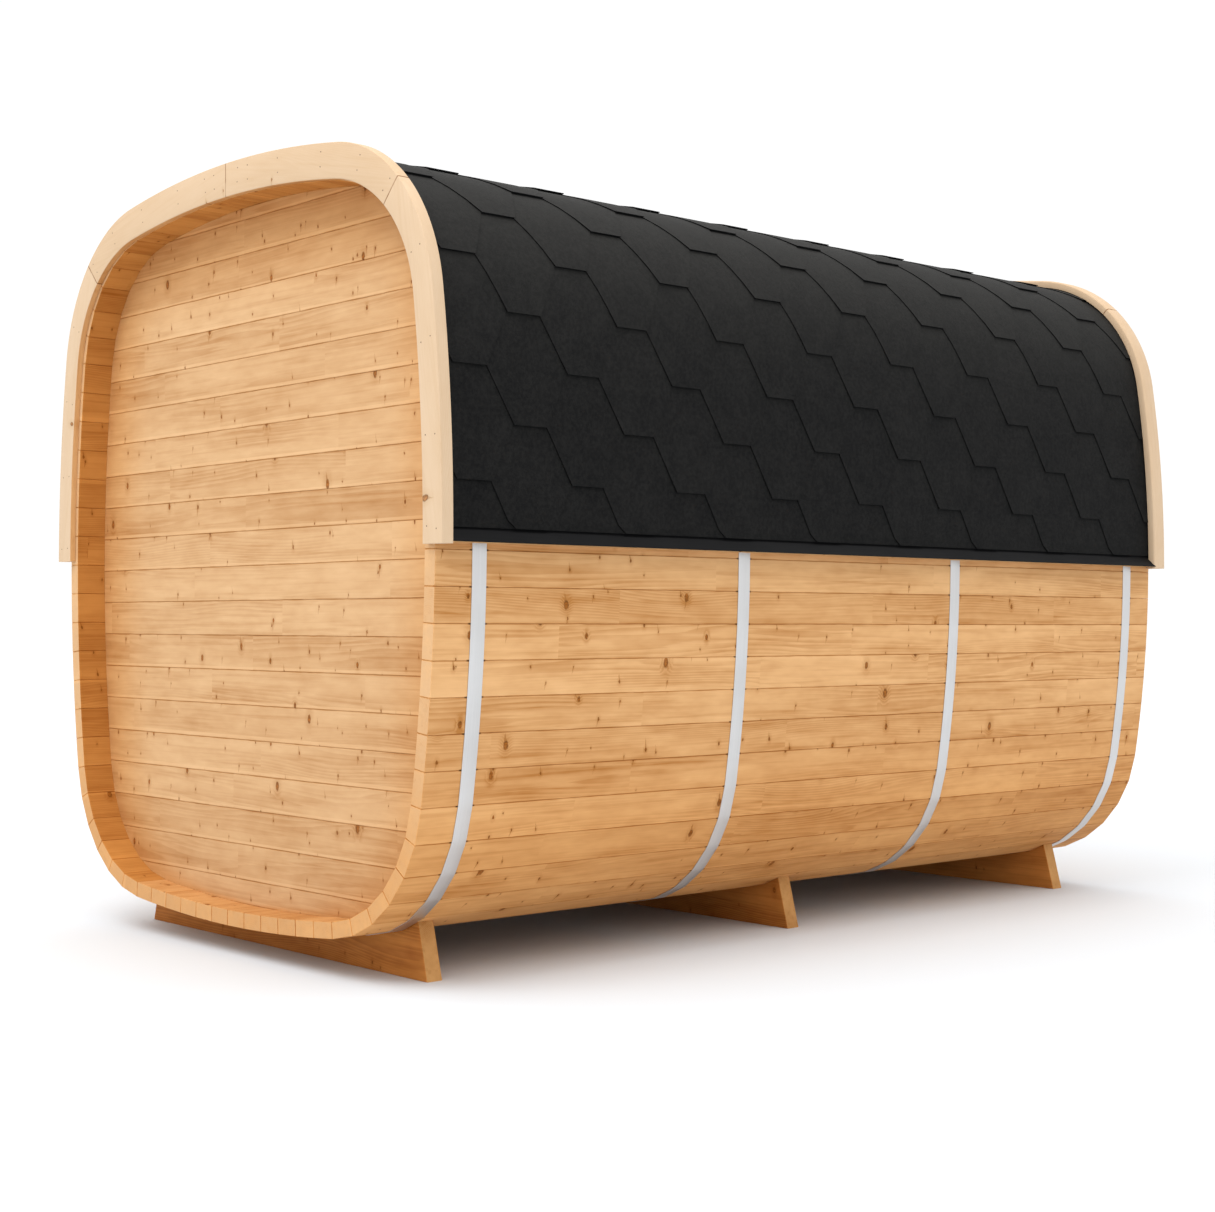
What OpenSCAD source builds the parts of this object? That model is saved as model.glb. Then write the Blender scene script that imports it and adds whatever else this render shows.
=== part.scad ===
// Cube sauna: a long hull of lengthways staves with a rounded-square section,
// held by steel bands, roofed with shingles from eave to eave, standing on three cradles.
// Millimetres, +Z up, the length along Y. The blind end is at -Y and the door end at +Y.

/* [Hull] */
// Outside width of the hull at its widest level
hull_w = 2185; // [1900:5:2500]
// Outside height of the hull from its underside to its crown
hull_h = 2333; // [2100:1:2600]
// Length of the staves
hull_l = 3420; // [2400:10:5000]
// Height of the widest level above the underside of the hull
waist_h = 1193; // [1050:1:1300]
// Radius of the slightly bowed side walls
side_r = 4640; // [3600:10:9000]
// Radius of the shallow roof curve
roof_r = 4235; // [3200:5:9000]
// Radius of the shallow floor curve
floor_r = 6280; // [4600:10:12000]
// Radius of the two upper corners
upper_corner_r = 500; // [380:5:620]
// Radius of the two lower corners
lower_corner_r = 490; // [380:5:620]

/* [Staves] */
// Thickness of a stave
stave_t = 50; // [40:1:70]
// Width that one stave covers on the outside
stave_cover = 102; // [80:1:140]
// Joint left between two staves
stave_gap = 0.3; // [0.2:0.1:1]
// Chamfer on the two outer edges of a stave
stave_ease = 1.5; // [0.5:0.1:4]

/* [End walls] */
// Distance from the stave ends to the outer face of the end walls
wall_setback = 102; // [70:1:300]
// Thickness of the end wall boards
wall_t = 45; // [28:1:60]
// Height that one wall board covers
board_cover = 111.4; // [80:0.1:160]
// Height of the first, narrow wall board at the floor
first_board = 77; // [30:1:110]
// Joint left between two wall boards
board_gap = 0.3; // [0.2:0.1:1]

/* [Door] */
// Width of the door leaf
door_w = 690; // [600:5:800]
// Height of the wall left above the door frame, at the middle of the hull
door_head = 170; // [120:5:300]
// Thickness of the door leaf
door_t = 42; // [34:1:50]
// Height of the wall left below the door frame, above the floor
door_step = 60; // [40:1:100]
// Face width of the door frame members
frame_w = 45; // [35:1:60]
// Depth of the door frame along the wall thickness
frame_d = 70; // [60:1:90]
// Running gap round the door leaf
door_gap = 3; // [2:0.5:5]
// Cover width of the boards marked on the door leaf
door_board = 98; // [70:1:120]
// Length of the wooden pull on the door
pull_l = 320; // [200:10:500]
// Distance from the middle of the pull to the edge of the leaf
pull_inset = 75; // [50:5:150]
// Thickness of the wooden pull
pull_t = 32; // [24:1:40]
// Clear hand space behind the pull
pull_reach = 40; // [30:1:60]
// Length of one hinge barrel
hinge_l = 90; // [60:5:120]
// Diameter of a hinge barrel
hinge_d = 16; // [12:1:20]
// Width of each hinge flap from the middle of the barrel
hinge_flap = 34; // [24:1:40]
// Thickness of a hinge flap
hinge_t = 2.5; // [1.5:0.5:4]

/* [Bands] */
// Width of a steel band
band_w = 50; // [30:1:80]
// Thickness of a steel band
band_t = 1.5; // [1:0.1:3]
// Distance from a stave end to the middle of the outermost band
band_inset = 150; // [100:5:170]

/* [Roof] */
// Height of the eave, where the arch trim stops, above the underside of the hull
eave_h = 1163; // [1000:1:1300]
// Thickness of the roof deck over the bands
deck_t = 16; // [9:1:22]
// Thickness of the shingle covering
shingle_t = 10; // [6:0.5:16]
// Thickness of the drip edge sheet
drip_t = 1.2; // [0.8:0.1:2]
// Height of the drip edge from its fold to its lip
drip_h = 40; // [20:1:60]
// Height of the drip edge flange under the shingles
drip_flange = 70; // [40:5:120]
// Height of the drip edge lip above the end of the trim
drip_lift = 6; // [2:1:20]

/* [Arch trim] */
// How far the trim stands out from the outer face of the staves
trim_out = 58; // [50:1:90]
// How far the trim reaches inward over the stave ends
trim_in = 32; // [15:1:50]
// Thickness of the trim in front of the stave ends
trim_front = 21; // [12:1:30]
// How far the outer rim of the trim runs back along the staves
trim_back = 18; // [10:1:40]
// Direction of the joint between post and bow, from the corner centre
trim_joint = 46; // [30:1:60]

/* [Cradles] */
// Height of the underside of the hull above the ground
cradle_lift = 90; // [60:1:160]
// Length of a cradle along the ground
cradle_l = 1620; // [1400:10:1800]
// Thickness of a cradle plank
cradle_t = 55; // [40:1:80]
// Lean of the cradle ends
cradle_lean = 15; // [5:1:25]
// Distance from a stave end to the middle of the outer cradles
cradle_inset = 208; // [206:1:600]

/* [Fits] */
// Clearance where one piece seats on another
fit = 0.3; // [0.2:0.05:0.5]
// Chord error allowed on curves
sag = 0.2; // [0.1:0.05:0.3]

/* [Hidden] */
half_w = hull_w / 2;
half_l = hull_l / 2;
lift = cradle_lift + fit;

// Centres of the curves of the section, in the plane of X and height above the underside.
side_c = [half_w - side_r, waist_h];
roof_c = [0, hull_h - roof_r];
floor_c = [0, floor_r];

function meet(a, ra, b, rb, s) =
  let(d = norm(b - a), e = (b - a) / d)
  let(x = (ra * ra - rb * rb + d * d) / (2 * d))
  a + e * x + s * sqrt(ra * ra - x * x) * [-e[1], e[0]];
function bearing(from, to) = atan2(to[1] - from[1], to[0] - from[0]);
function on(c, r, a) = c + r * [cos(a), sin(a)];
function mirrored(p) = [-p[0], p[1]];

upper_c = meet(side_c, side_r - upper_corner_r, roof_c, roof_r - upper_corner_r, 1);
lower_c = meet(side_c, side_r - lower_corner_r, floor_c, floor_r - lower_corner_r, -1);

// Where one curve of the section hands over to the next, as bearings from the centres.
a_floor = bearing(floor_c, lower_c);
a_low = bearing(side_c, lower_c);
a_high = bearing(side_c, upper_c);
a_roof = bearing(roof_c, upper_c);

// The seams where two curves meet: a point on the seam at zero and its outward direction.
low_seam = [on(lower_c, lower_corner_r, a_low), on([0, 0], 1, a_low)];
high_seam = [on(upper_c, upper_corner_r, a_high), on([0, 0], 1, a_high)];
roof_seam = [on(upper_c, upper_corner_r, a_roof), on([0, 0], 1, a_roof)];
left_seam = [mirrored(roof_seam[0]), mirrored(roof_seam[1])];

// The runs of the right half and the middle: centre, radius, first and last bearing, seams.
floor_run = [floor_c, floor_r, -180 - a_floor, a_floor];
low_run = [lower_c, lower_corner_r, a_floor, a_low];
side_run = [side_c, side_r, a_low, a_high, low_seam, high_seam];
high_run = [upper_c, upper_corner_r, a_high, a_roof, high_seam, roof_seam];
roof_run = [roof_c, roof_r, a_roof, 180 - a_roof, roof_seam, left_seam];

// Layers over the staves, measured out from their outer face.
deck_in = fit + band_t + fit;
deck_out = deck_in + deck_t;
drip_in = deck_out + fit;
shingle_in = drip_in + drip_t + fit;
shingle_out = shingle_in + shingle_t;
lip_h = eave_h + drip_lift;
fold_h = lip_h + drip_h;

// Ends of the roof layers, just inside the rims of the trim.
roof_end = half_l - trim_back - fit;

// Door opening, set out from the floor at the middle of the hull.
frame_z0 = stave_t + door_step + fit;
frame_z1 = hull_h - stave_t - fit - door_head;
leaf_z0 = frame_z0 + frame_w + door_gap;
door_h = frame_z1 - frame_w - door_gap - leaf_z0;
frame_x = door_w / 2 + door_gap + frame_w;
wall_out = half_l - wall_setback;
wall_in = wall_out - wall_t;
frame_out = wall_out + 12;
leaf_out = frame_out;
big = 2 * (hull_w + hull_h);
seam_reach = trim_out + trim_in + stave_t;

// ---------------------------------------------------------------- section of the hull

function run_count(run) = max(1, round(run[1] * (run[3] - run[2]) * PI / 180 / stave_cover));
function run_points(run, off) =
  let(n = run_count(run), step = (run[3] - run[2]) / n)
  [for (i = [0 : n]) on(run[0], run[1] + off, run[2] + i * step)];
function right_half(off) = concat(run_points(low_run, off), run_points(side_run, off),
  run_points(high_run, off));
function flipped(points) =
  [for (i = [len(points) - 1 : -1 : 0]) mirrored(points[i])];

// How far from the middle the side stands at a height, moved out by off.
function side_x(h, off) = side_c[0] + sqrt(pow(side_r + off, 2) - pow(h - waist_h, 2));

// The outline through the stave corners, moved out by off.
module stave_outline(off) {
  polygon(concat(run_points(floor_run, off), right_half(off), run_points(roof_run, off),
    flipped(right_half(off))));
}

// Places a curve at its centre: whole millimetres first, then the rest, so that no digit is lost.
module centred(c) {
  whole = [floor(c[0]), floor(c[1])];
  translate(whole) translate(c - whole) children();
}

// A point on a seam at an offset, kept to hundredths so that both sides share it.
function at_seam(seam, off) = let(p = seam[0] + off * seam[1]) [for (v = p) round(v * 100) / 100];

// The strip between two offsets along one curve of the section, cut off at its seams.
module strip(run, inner, outer) {
  c = run[0];
  ri = run[1] + inner;
  ro = run[1] + outer;
  intersection() {
    centred(c) difference() {
      circle(ro, $fn = ceil(180 / acos(1 - sag / ro)));
      circle(ri, $fn = ceil(180 / acos(1 - sag / ri)));
    }
    polygon([at_seam(run[4], -seam_reach), at_seam(run[4], seam_reach),
      on(c, ro * 2, (run[2] + run[3]) / 2), at_seam(run[5], seam_reach),
      at_seam(run[5], -seam_reach)]);
  }
}

// A smooth run of true arcs over the upper right half of the section, between two offsets.
module upper_ring(inner, outer) {
  for (run = [side_run, high_run, roof_run]) strip(run, inner, outer);
}

// The half of the plane right of the middle and above a height.
module right_above(h) {
  translate([fit / 2, h]) square([big, big]);
}

// Carries a section in X and height along Y, from y0 to y1, at the height of the hull.
module along(y0, y1) {
  translate([0, y1, lift]) rotate([90, 0, 0]) linear_extrude(height = y1 - y0) children();
}

// ---------------------------------------------------------------- staves

module stave(run, s, e) {
  c = run[0];
  r = run[1];
  g = stave_gap / 2 / r * 180 / PI;
  k = stave_ease / r * 180 / PI;
  i = stave_gap / 2 / (r - stave_t) * 180 / PI;
  mid = (s + e) / 2;
  flat = cos((e - s) / 2);
  ro = r * flat / cos((e - s) / 2 - k);
  rr = r - stave_ease;
  h = stave_gap / 2 / rr * 180 / PI;
  polygon([on(c, rr, s + h), on(c, ro, s + g + k), on(c, ro, e - g - k), on(c, rr, e - h),
    on(c, r - stave_t, e - i), on(c, r - stave_t, s + i)]);
}

module stave_set(run) {
  n = run_count(run);
  step = (run[3] - run[2]) / n;
  for (i = [0 : n - 1]) along(-half_l, half_l) stave(run, run[2] + i * step, run[2] + (i + 1) * step);
}

module left_of(run) {
  mirror([1, 0, 0]) stave_set(run);
}

// ---------------------------------------------------------------- end walls

// One horizontal board of an end wall, cut to the inside of the staves.
board_count = ceil((hull_h - 2 * stave_t - first_board) / board_cover) + 1;
function board_low(i) = i == 0 ? 0 : stave_t + first_board + (i - 1) * board_cover + board_gap / 2;
function board_high(i) = stave_t + first_board + i * board_cover - board_gap / 2;

module wall_board(i) {
  intersection() {
    stave_outline(-stave_t - fit);
    translate([-big / 2, board_low(i)]) square([big, board_high(i) - board_low(i)]);
  }
}

// The boards of one end wall inside a box of X and height.
module board_wall(y0, x0, x1, z0, z1) {
  for (i = [0 : board_count - 1]) {
    if (board_high(i) > z0 + 1 && board_low(i) < z1 - 1) {
      along(y0, y0 + wall_t) intersection() {
        wall_board(i);
        translate([x0, z0]) square([x1 - x0, z1 - z0]);
      }
    }
  }
}

module rear_wall_boards() {
  color("#c98f55") board_wall(-wall_out, -half_w, half_w, 0, hull_h);
}

module front_wall_left() {
  color("#c98f55") board_wall(wall_in, -half_w, -frame_x - fit, 0, hull_h);
}

module front_wall_right() {
  color("#c98f55") board_wall(wall_in, frame_x + fit, half_w, 0, hull_h);
}

module front_wall_head() {
  color("#d09a60") board_wall(wall_in, -frame_x, frame_x, frame_z1 + fit, hull_h);
}

module front_wall_sill() {
  color("#d09a60") board_wall(wall_in, -frame_x, frame_x, 0, frame_z0 - fit);
}

// ---------------------------------------------------------------- door

// A box in the door plane, from x0 to x1 and z0 to z1 above the underside of the hull.
module door_box(x0, x1, z0, z1, y0, y1) {
  translate([x0, y0, lift + z0]) cube([x1 - x0, y1 - y0, z1 - z0]);
}

module door_frame() {
  y0 = frame_out - frame_d;
  in_x = frame_x - frame_w;
  color("#b57a42") {
    for (s = [-1, 1]) {
      x0 = s < 0 ? -frame_x : in_x;
      door_box(x0, x0 + frame_w, frame_z0, frame_z1, y0, frame_out);
    }
    door_box(-in_x + fit, in_x - fit, frame_z0, frame_z0 + frame_w, y0, frame_out);
    door_box(-in_x + fit, in_x - fit, frame_z1 - frame_w, frame_z1, y0, frame_out);
  }
}

module door_leaf() {
  n = floor(door_w / door_board / 2);
  color("#c58a50") difference() {
    door_box(-door_w / 2, door_w / 2, leaf_z0, leaf_z0 + door_h, leaf_out - door_t, leaf_out);
    for (i = [-n : n]) {
      translate([i * door_board, leaf_out, lift + leaf_z0 - 1]) rotate([0, 0, 45])
        translate([-2, -2, 0]) cube([4, 4, door_h + 2]);
    }
  }
}

// The pull: a turned bar held off the leaf by two pegs.
module door_handle() {
  x = door_w / 2 - pull_inset;
  z = leaf_z0 + door_h * 0.52;
  y = leaf_out + pull_reach + pull_t / 2;
  color("#8f5f33") {
    translate([x, y, lift + z - pull_l / 2]) cylinder(h = pull_l, d = pull_t, $fn = 32);
    for (s = [-1, 1]) {
      translate([x, leaf_out + fit, lift + z + s * pull_l * 0.34]) rotate([-90, 0, 0])
        cylinder(h = pull_reach + pull_t / 2, d = pull_t * 0.6, $fn = 24);
    }
  }
}

// Surface hinges: a barrel over the joint with a flap on the frame and a flap on the leaf.
module door_hinges() {
  x = -door_w / 2 - door_gap / 2;
  color("#b9bcbf") for (z = [door_h * 0.1, door_h / 2, door_h * 0.9]) {
    translate([x, frame_out + fit + hinge_d / 2, lift + leaf_z0 + z - hinge_l / 2])
      cylinder(h = hinge_l, d = hinge_d, $fn = 24);
    translate([x - hinge_flap, frame_out + fit, lift + leaf_z0 + z - hinge_l / 2])
      cube([2 * hinge_flap, hinge_t, hinge_l]);
  }
}

// ---------------------------------------------------------------- steel bands

// A strap drawn tight over the flat staves, so that it bends at each stave joint.
module band(i) {
  pitch = (hull_l - 2 * band_inset) / 3;
  y = -half_l + band_inset + i * pitch;
  color("#c9ccce") along(y - band_w / 2, y + band_w / 2) difference() {
    stave_outline(fit + band_t);
    stave_outline(fit);
  }
}

// ---------------------------------------------------------------- roof

module roof_layer(inner, outer, low) {
  along(-roof_end, roof_end) intersection() {
    upper_ring(inner, outer);
    right_above(low);
  }
}

// Sheet steel folded at the bottom of the shingles and turned out to a drip lip.
module drip_edge() {
  x0 = side_x(fold_h, drip_in);
  x1 = side_x(lip_h, trim_out);
  along(-roof_end, roof_end) intersection() {
    strip(side_run, drip_in, drip_in + drip_t);
    translate([0, fold_h - fit]) square([big, drip_flange]);
  }
  along(-roof_end, roof_end)
    polygon([[x0 - 0.3, fold_h], [x0 + drip_t + 0.3, fold_h], [x1, lip_h + drip_t], [x1, lip_h],
      [x1 - drip_t, lip_h], [x0 - 0.3, fold_h - drip_t * 1.4]]);
}

// ---------------------------------------------------------------- arch trim

// Rebated section: a front flange over the stave ends and a rim outside them.
module arch_end(side) {
  along(-half_l - trim_front, -half_l - fit) arch_part(-trim_in, trim_out, side);
  along(-half_l - fit, -half_l + trim_back) arch_part(fit, trim_out, side);
}

// The section of the trim above the eave, on one side of the joint between post and bow.
module arch_part(inner, outer, side) {
  intersection() {
    upper_ring(inner, outer);
    right_above(eave_h);
    joint_side(side);
  }
}

// One side of the joint line: 1 for the bow over the crown, -1 for the post below.
module joint_side(side) {
  centred(upper_c) rotate(trim_joint) translate([-big / 2, fit / 2]) {
    if (side > 0) square([big, big]);
    if (side < 0) translate([0, -big - fit]) square([big, big]);
  }
}

module arch_bow() {
  arch_end(1);
}

module arch_post() {
  arch_end(-1);
}

module left() {
  mirror([1, 0, 0]) children();
}

module at_front() {
  mirror([0, 1, 0]) children();
}

// ---------------------------------------------------------------- cradles

// A plank on edge, its top cut to the hull and its ends leaning in.
module cradle(y) {
  h = hull_h / 4;
  color("#b37943") along(y - cradle_t / 2, y + cradle_t / 2) difference() {
    polygon([[-cradle_l / 2, -lift], [cradle_l / 2, -lift],
      [cradle_l / 2 - (h + lift) * tan(cradle_lean), h],
      [-cradle_l / 2 + (h + lift) * tan(cradle_lean), h]]);
    stave_outline(fit);
  }
}

// ---------------------------------------------------------------- nodes

module timber() {
  color("#cf9a60") children();
}

module pale() {
  color("#ecd3ad") children();
}

module slate() {
  color("#2c2d2f") children();
}

timber() stave_set(floor_run);  // floor_staves
timber() left_of(low_run);  // lower_left_staves
timber() stave_set(low_run);  // lower_right_staves
timber() left_of(side_run);  // left_wall_staves
timber() stave_set(side_run);  // right_wall_staves
timber() left_of(high_run);  // upper_left_staves
timber() stave_set(high_run);  // upper_right_staves
timber() stave_set(roof_run);  // roof_staves
rear_wall_boards();
front_wall_left();
front_wall_right();
front_wall_head();
front_wall_sill();
door_frame();
door_leaf();
door_handle();
door_hinges();
band(0);  // band_rear
band(1);  // band_mid_rear
band(2);  // band_mid_front
band(3);  // band_front
timber() left() roof_layer(deck_in, deck_out, lip_h + fit);  // roof_deck_left
timber() roof_layer(deck_in, deck_out, lip_h + fit);  // roof_deck_right
slate() left() roof_layer(shingle_in, shingle_out, fold_h + fit);  // shingles_left
slate() roof_layer(shingle_in, shingle_out, fold_h + fit);  // shingles_right
slate() left() drip_edge();  // drip_edge_left
slate() drip_edge();  // drip_edge_right
pale() left() arch_post();  // rear_arch_left_post
pale() left() arch_bow();  // rear_arch_left_bow
pale() arch_bow();  // rear_arch_right_bow
pale() arch_post();  // rear_arch_right_post
pale() at_front() left() arch_post();  // front_arch_left_post
pale() at_front() left() arch_bow();  // front_arch_left_bow
pale() at_front() arch_bow();  // front_arch_right_bow
pale() at_front() arch_post();  // front_arch_right_post
cradle(-half_l + cradle_inset);  // cradle_rear
cradle(0);  // cradle_middle
cradle(half_l - cradle_inset);  // cradle_front
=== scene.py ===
"""Cube sauna, its looks: timber boards, arch trims, steel bands, laid shingles and sheet drip edges,
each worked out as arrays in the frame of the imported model. Metres, +Z up, the length along Y."""
import math

import bmesh
import bpy
import numpy as np
from mathutils import Matrix, Vector


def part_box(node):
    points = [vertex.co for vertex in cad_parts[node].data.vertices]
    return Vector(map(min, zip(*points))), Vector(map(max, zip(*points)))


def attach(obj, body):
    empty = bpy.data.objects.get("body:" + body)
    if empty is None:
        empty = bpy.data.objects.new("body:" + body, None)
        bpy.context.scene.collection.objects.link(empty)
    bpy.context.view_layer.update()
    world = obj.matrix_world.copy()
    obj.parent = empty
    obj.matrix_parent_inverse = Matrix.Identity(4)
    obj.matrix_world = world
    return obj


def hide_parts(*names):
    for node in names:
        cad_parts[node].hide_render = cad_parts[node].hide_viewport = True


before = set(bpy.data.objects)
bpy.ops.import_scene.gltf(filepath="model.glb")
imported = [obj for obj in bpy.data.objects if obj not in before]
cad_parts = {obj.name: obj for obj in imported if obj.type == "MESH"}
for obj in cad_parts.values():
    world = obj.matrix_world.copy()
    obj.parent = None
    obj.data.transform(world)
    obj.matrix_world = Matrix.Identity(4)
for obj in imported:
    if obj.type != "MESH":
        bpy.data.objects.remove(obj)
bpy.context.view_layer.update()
rng = np.random.default_rng(76)


def limit(node, corner, axis):
    """One coordinate of the lowest (0) or highest (1) corner of a node, to a tenth of a millimetre."""
    return round(getattr(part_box(node)[corner], axis), 4)


def span(node, axis):
    """The middle of a node along one axis, and half its size."""
    low, high = (getattr(corner, axis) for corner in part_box(node))
    return (low + high) / 2, (high - low) / 2


# ---------- sizes of the frame
MM = 0.001
GROUND_LIFT = limit("floor_staves", 0, "z")  # underside of the hull above the floor
HALF_L = limit("floor_staves", 1, "y")
HALF_W = limit("right_wall_staves", 1, "x")
HULL_H = limit("roof_staves", 1, "z") - GROUND_LIFT
WAIST_H = 1193 * MM
SIDE_R, ROOF_R, FLOOR_R = 4640 * MM, 4235 * MM, 6280 * MM
UPPER_R, LOWER_R = 500 * MM, 490 * MM
STAVE_T, STAVE_COVER, STAVE_GAP = 50 * MM, 102 * MM, 0.3 * MM
WALL_T, BOARD_COVER, FIRST_BOARD, BOARD_GAP = 45 * MM, 111.4 * MM, 77 * MM, 0.3 * MM
BAND_W, BAND_T, FIT = 50 * MM, 1.5 * MM, 0.3 * MM
EAVE_H = limit("rear_arch_right_post", 0, "z") - GROUND_LIFT
TRIM_OUT, TRIM_IN, TRIM_FRONT, TRIM_BACK = 58 * MM, 32 * MM, 21 * MM, 18 * MM
TRIM_OVER = 17 * MM  # how much further in the trim reaches over the roof
FRONT_LIP, LIP_H = 46 * MM, 29.5 * MM  # the door end's rim laps the shingles
TRIM_JOINT = math.radians(46)
ROOF_END = HALF_L - TRIM_BACK - FIT
SHINGLE_IN = 19.9 * MM
FOLD_H = EAVE_H + 46 * MM


# ---------- section of the hull
def meet(a, ra, b, rb, side):
    """Where two circles cross: along the line of centres by (ra^2 - rb^2 + d^2) / 2d, then square to it."""
    gap = b - a
    d = np.hypot(*gap)
    e = gap / d
    x = (ra * ra - rb * rb + d * d) / (2 * d)
    return a + e * x + side * math.sqrt(ra * ra - x * x) * np.array([-e[1], e[0]])


def bearing(start, end):
    """Angle of the line from start to end."""
    return math.atan2(end[1] - start[1], end[0] - start[0])


side_c = np.array([HALF_W - SIDE_R, WAIST_H])
roof_c = np.array([0.0, HULL_H - ROOF_R])
floor_c = np.array([0.0, FLOOR_R])
upper_c = meet(side_c, SIDE_R - UPPER_R, roof_c, ROOF_R - UPPER_R, 1)
lower_c = meet(side_c, SIDE_R - LOWER_R, floor_c, FLOOR_R - LOWER_R, -1)
a_floor, a_low = bearing(floor_c, lower_c), bearing(side_c, lower_c)
a_high, a_roof = bearing(side_c, upper_c), bearing(roof_c, upper_c)
FLOOR_RUN = (floor_c, FLOOR_R, -math.pi - a_floor, a_floor)
LOW_RUN = (lower_c, LOWER_R, a_floor, a_low)
SIDE_RUN = (side_c, SIDE_R, a_low, a_high)
HIGH_RUN = (upper_c, UPPER_R, a_high, a_roof)
ROOF_RUN = (roof_c, ROOF_R, a_roof, math.pi - a_roof)


def rays(angle):
    """Unit directions of an array of angles: (cos, sin)."""
    return np.stack([np.cos(angle), np.sin(angle)], -1)


def around(centre, radius, angle):
    """Points round a centre at arrays of radii and angles: centre + radius * ray."""
    return centre + np.asarray(radius)[..., None] * rays(angle)


def stave_count(run):
    """Whole number of staves that come nearest to the cover width along one curve."""
    return round(run[1] * (run[3] - run[2]) / STAVE_COVER)


def corners(run, off):
    """Stave corners of one curve, moved out by off."""
    return around(run[0], run[1] + off, np.linspace(run[2], run[3], stave_count(run) + 1))


def outline(off):
    """Closed chain through all stave corners, counter-clockwise from the floor, without repeats: the floor,
    the right side, the roof, and the right side's mirror image in reverse order."""
    right = np.concatenate([corners(run, off)[1:] for run in (LOW_RUN, SIDE_RUN, HIGH_RUN)])
    floor_part, roof_part = corners(FLOOR_RUN, off), corners(ROOF_RUN, off)[1:-1]
    return np.concatenate([floor_part, right, roof_part, right[::-1] * [-1, 1]])


def inner_half_width(h):
    """Half the clear width between the staves at height h, read along the inner stave corners."""
    chain = outline(-STAVE_T - FIT)
    right = chain[chain[:, 0] > -1e-9]
    order = np.argsort(right[:, 1])
    return np.interp(h, right[order, 1], right[order, 0], left=0, right=0)


# ---------- meshes from arrays
def place(*coordinates):
    """Points from an array for each coordinate, all stretched to one shape."""
    return np.stack(np.broadcast_arrays(*coordinates), -1)


def stand(flat, y, side=1):
    """Points of the section, (across, height over the underside of the hull), stood up at y on one side."""
    return place(side * flat[..., 0], y, flat[..., 1] + GROUND_LIFT)


def unit(lines):
    """The same directions with length 1."""
    return lines / np.linalg.norm(lines, axis=1, keepdims=True)


def linked(name, data):
    """A new object in the scene."""
    obj = bpy.data.objects.new(name, data)
    bpy.context.scene.collection.objects.link(obj)
    return obj


NO_PALE_STRIP = -5.0  # far outside any pale strip


class Pile:
    """Vertices, faces and attributes of several closed shells, gathered into one mesh."""

    def __init__(self):
        self.points, self.grain, self.faces, self.skin = [], [], [], []
        self.rims, self.rim_skin = [], []
        self.marks = {"tone": [], "arris": [], "sapwood_and_highlight": [], "corner_shade": []}
        self.count = 0

    def shell(self, rings, grain=None, skin=0, rim_skin=0, looped=False, ladder=False,
              tone=0.0, arris=0.0, sapwood_and_highlight=NO_PALE_STRIP, corner_shade=0.0):
        """A closed shell from a grid of rings: row i of the grid is one closed ring, rows follow the path.
        The two end rings are closed by a face each, by a ladder of faces between points j and -1 - j of a
        ring with two like sides, or joined to each other when the path is looped."""
        n, m = rings.shape[:2]
        index = self.count + np.arange(n * m).reshape(n, m)
        near, far = (index, np.roll(index, -1, axis=0)) if looped else (index[:-1], index[1:])
        self.faces.append(np.stack([near, np.roll(near, -1, axis=1), np.roll(far, -1, axis=1), far], -1))
        self.skin.append(np.broadcast_to(skin, near.shape))
        if ladder:
            ends = index[[0, -1]]
            one, two = ends[:, :m // 2], ends[:, :m // 2 - 1:-1]
            self.faces.append(np.stack([one[:, :-1], one[:, 1:], two[:, 1:], two[:, :-1]], -1))
            self.skin.append(np.zeros((2, m // 2 - 1), int))
        elif not looped:
            self.rims += [index[0, ::-1].tolist(), index[-1].tolist()]
            self.rim_skin += [rim_skin, rim_skin]
        self.points.append(rings.reshape(-1, 3))
        self.grain.append(np.broadcast_to(rings if grain is None else grain, rings.shape).reshape(-1, 3))
        for title, value in (("tone", tone), ("arris", arris), ("sapwood_and_highlight", sapwood_and_highlight), ("corner_shade", corner_shade)):
            self.marks[title].append(np.broadcast_to(value, (n, m)).ravel())
        self.count += n * m

    def piece(self, name, materials, nodes, smooth=35, merge=0.0):
        """Makes the object at the origin, its faces turned outwards, and lets it ride on the hull."""
        mesh = bpy.data.meshes.new(name)
        faces = np.concatenate([quads.reshape(-1, 4) for quads in self.faces]).tolist() + self.rims
        mesh.from_pydata(np.concatenate(self.points).tolist(), [], faces)
        mesh.attributes.new("grain", "FLOAT_VECTOR", "POINT").data.foreach_set(
            "vector", np.concatenate(self.grain).astype(np.float32).ravel())
        for title, values in self.marks.items():
            mesh.attributes.new(title, "FLOAT", "POINT").data.foreach_set(
                "value", np.concatenate(values).astype(np.float32))
        for material in materials:
            mesh.materials.append(material)
        skins = np.concatenate([skin.ravel() for skin in self.skin] + [np.array(self.rim_skin, int)])
        mesh.polygons.foreach_set("material_index", skins.astype(np.int32))
        mesh.polygons.foreach_set("use_smooth", np.ones(len(faces), bool))
        work = bmesh.new()
        work.from_mesh(mesh)
        if merge:
            bmesh.ops.remove_doubles(work, verts=work.verts, dist=merge)
        bmesh.ops.recalc_face_normals(work, faces=work.faces)
        work.to_mesh(mesh)
        work.free()
        mesh.set_sharp_from_angle(angle=math.radians(smooth))
        obj = linked(name, mesh)
        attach(obj, "root")
        if nodes:
            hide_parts(*nodes)


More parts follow.
